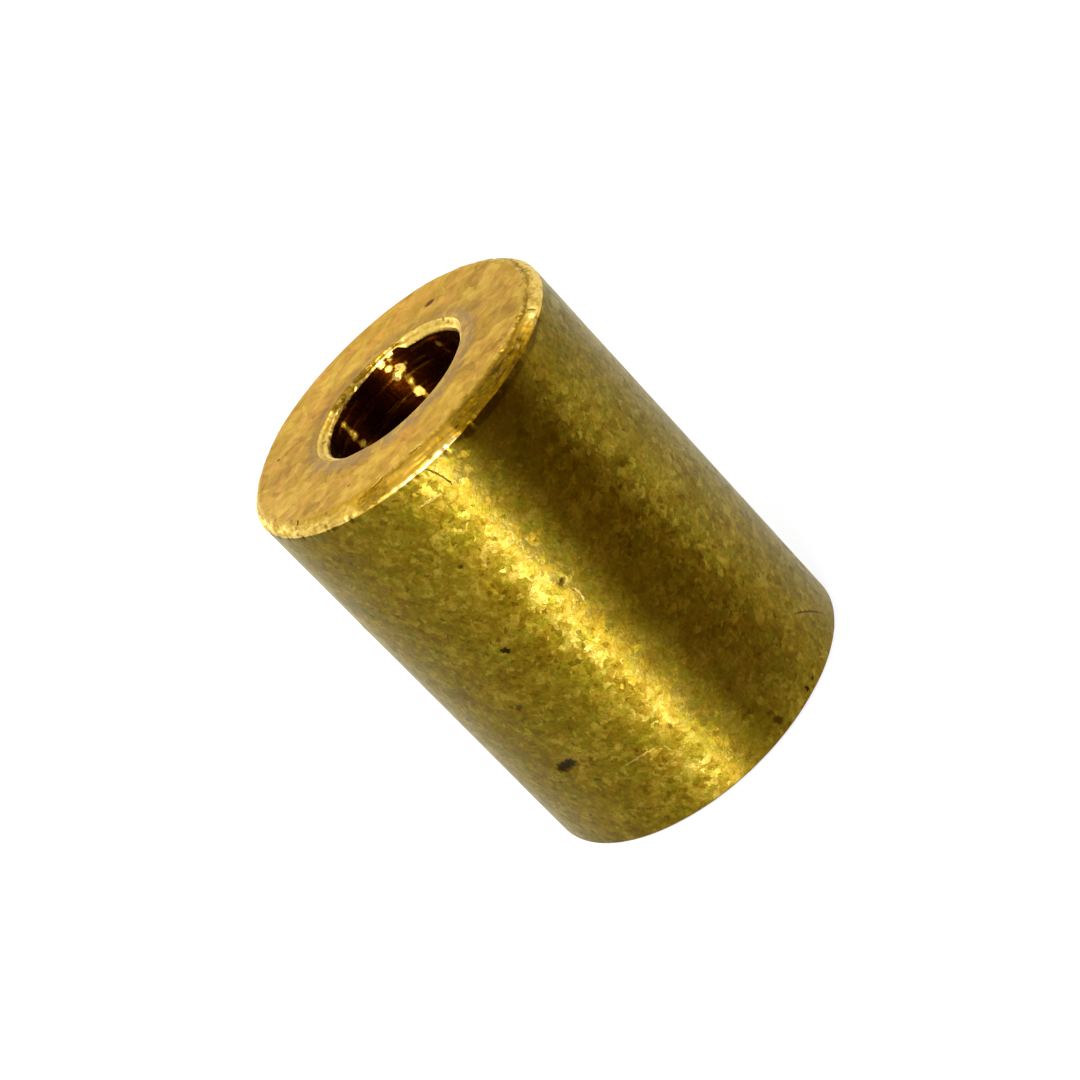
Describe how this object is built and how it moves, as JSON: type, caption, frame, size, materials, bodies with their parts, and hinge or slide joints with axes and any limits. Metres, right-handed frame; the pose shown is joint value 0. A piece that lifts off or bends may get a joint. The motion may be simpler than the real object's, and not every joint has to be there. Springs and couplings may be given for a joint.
{
  "type": "round spacer",
  "caption": "Round turned brass spacer with a plain through bore, chamfered edges and two flat end faces, for a screw to pass through.",
  "frame": {"origin": "centre of the cut-off end face, on the axis of the bore", "axes": "+Z along the axis, from the cut-off end to the faced end; X and Y are equivalent"},
  "size_m": [0.0048, 0.0048, 0.0063],
  "materials": {
    "brass": "turned, lightly tarnished, unlacquered"
  },
  "bodies": {
    "root": {"spacer": "brass"}
  },
  "joints": []
}
